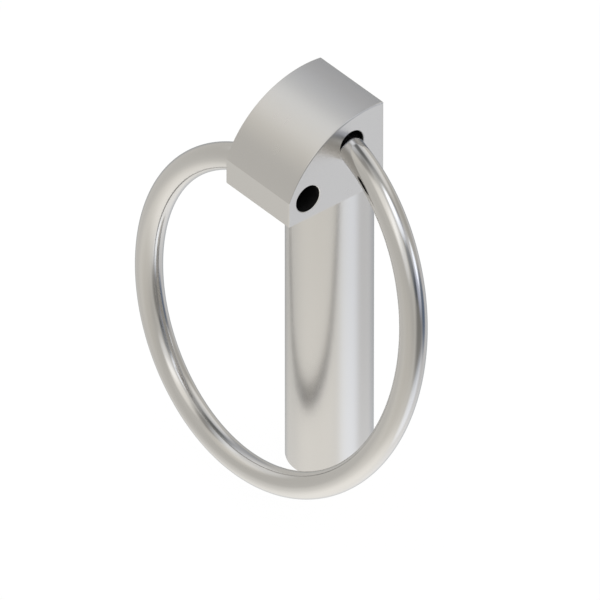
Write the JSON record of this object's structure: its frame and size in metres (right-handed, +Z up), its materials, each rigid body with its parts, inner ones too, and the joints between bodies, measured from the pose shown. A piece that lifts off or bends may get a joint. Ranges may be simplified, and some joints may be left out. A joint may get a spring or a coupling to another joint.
{
  "type": "linch pin",
  "caption": "Quick-release linch pin: round shank under a quarter-round head, with a spring ring that swings over the shank to lock it.",
  "frame": {"origin": "centre of the shank at the flat shoulder under the head", "axes": "+Z up the shank's axis towards the head, -Y towards the head's nose, X along the cross holes, with the ring's upper end on the +X side"},
  "size_m": [0.0498, 0.0214, 0.0559],
  "materials": {
    "pin_steel": "satin-polished stainless steel",
    "ring_wire": "bright drawn stainless spring wire, lightly polished"
  },
  "bodies": {
    "pin": {"pin": "pin_steel"},
    "ring": {"ring": "ring_wire"}
  },
  "joints": [
    {"name": "ring_swing", "type": "hinge", "parent": "pin", "child": "ring", "pos_m": [0, -0.00495, 0.00562], "axis": [-1, 0, 0], "range_deg": [-8, 180], "deforming": ["ring"]}
  ]
}
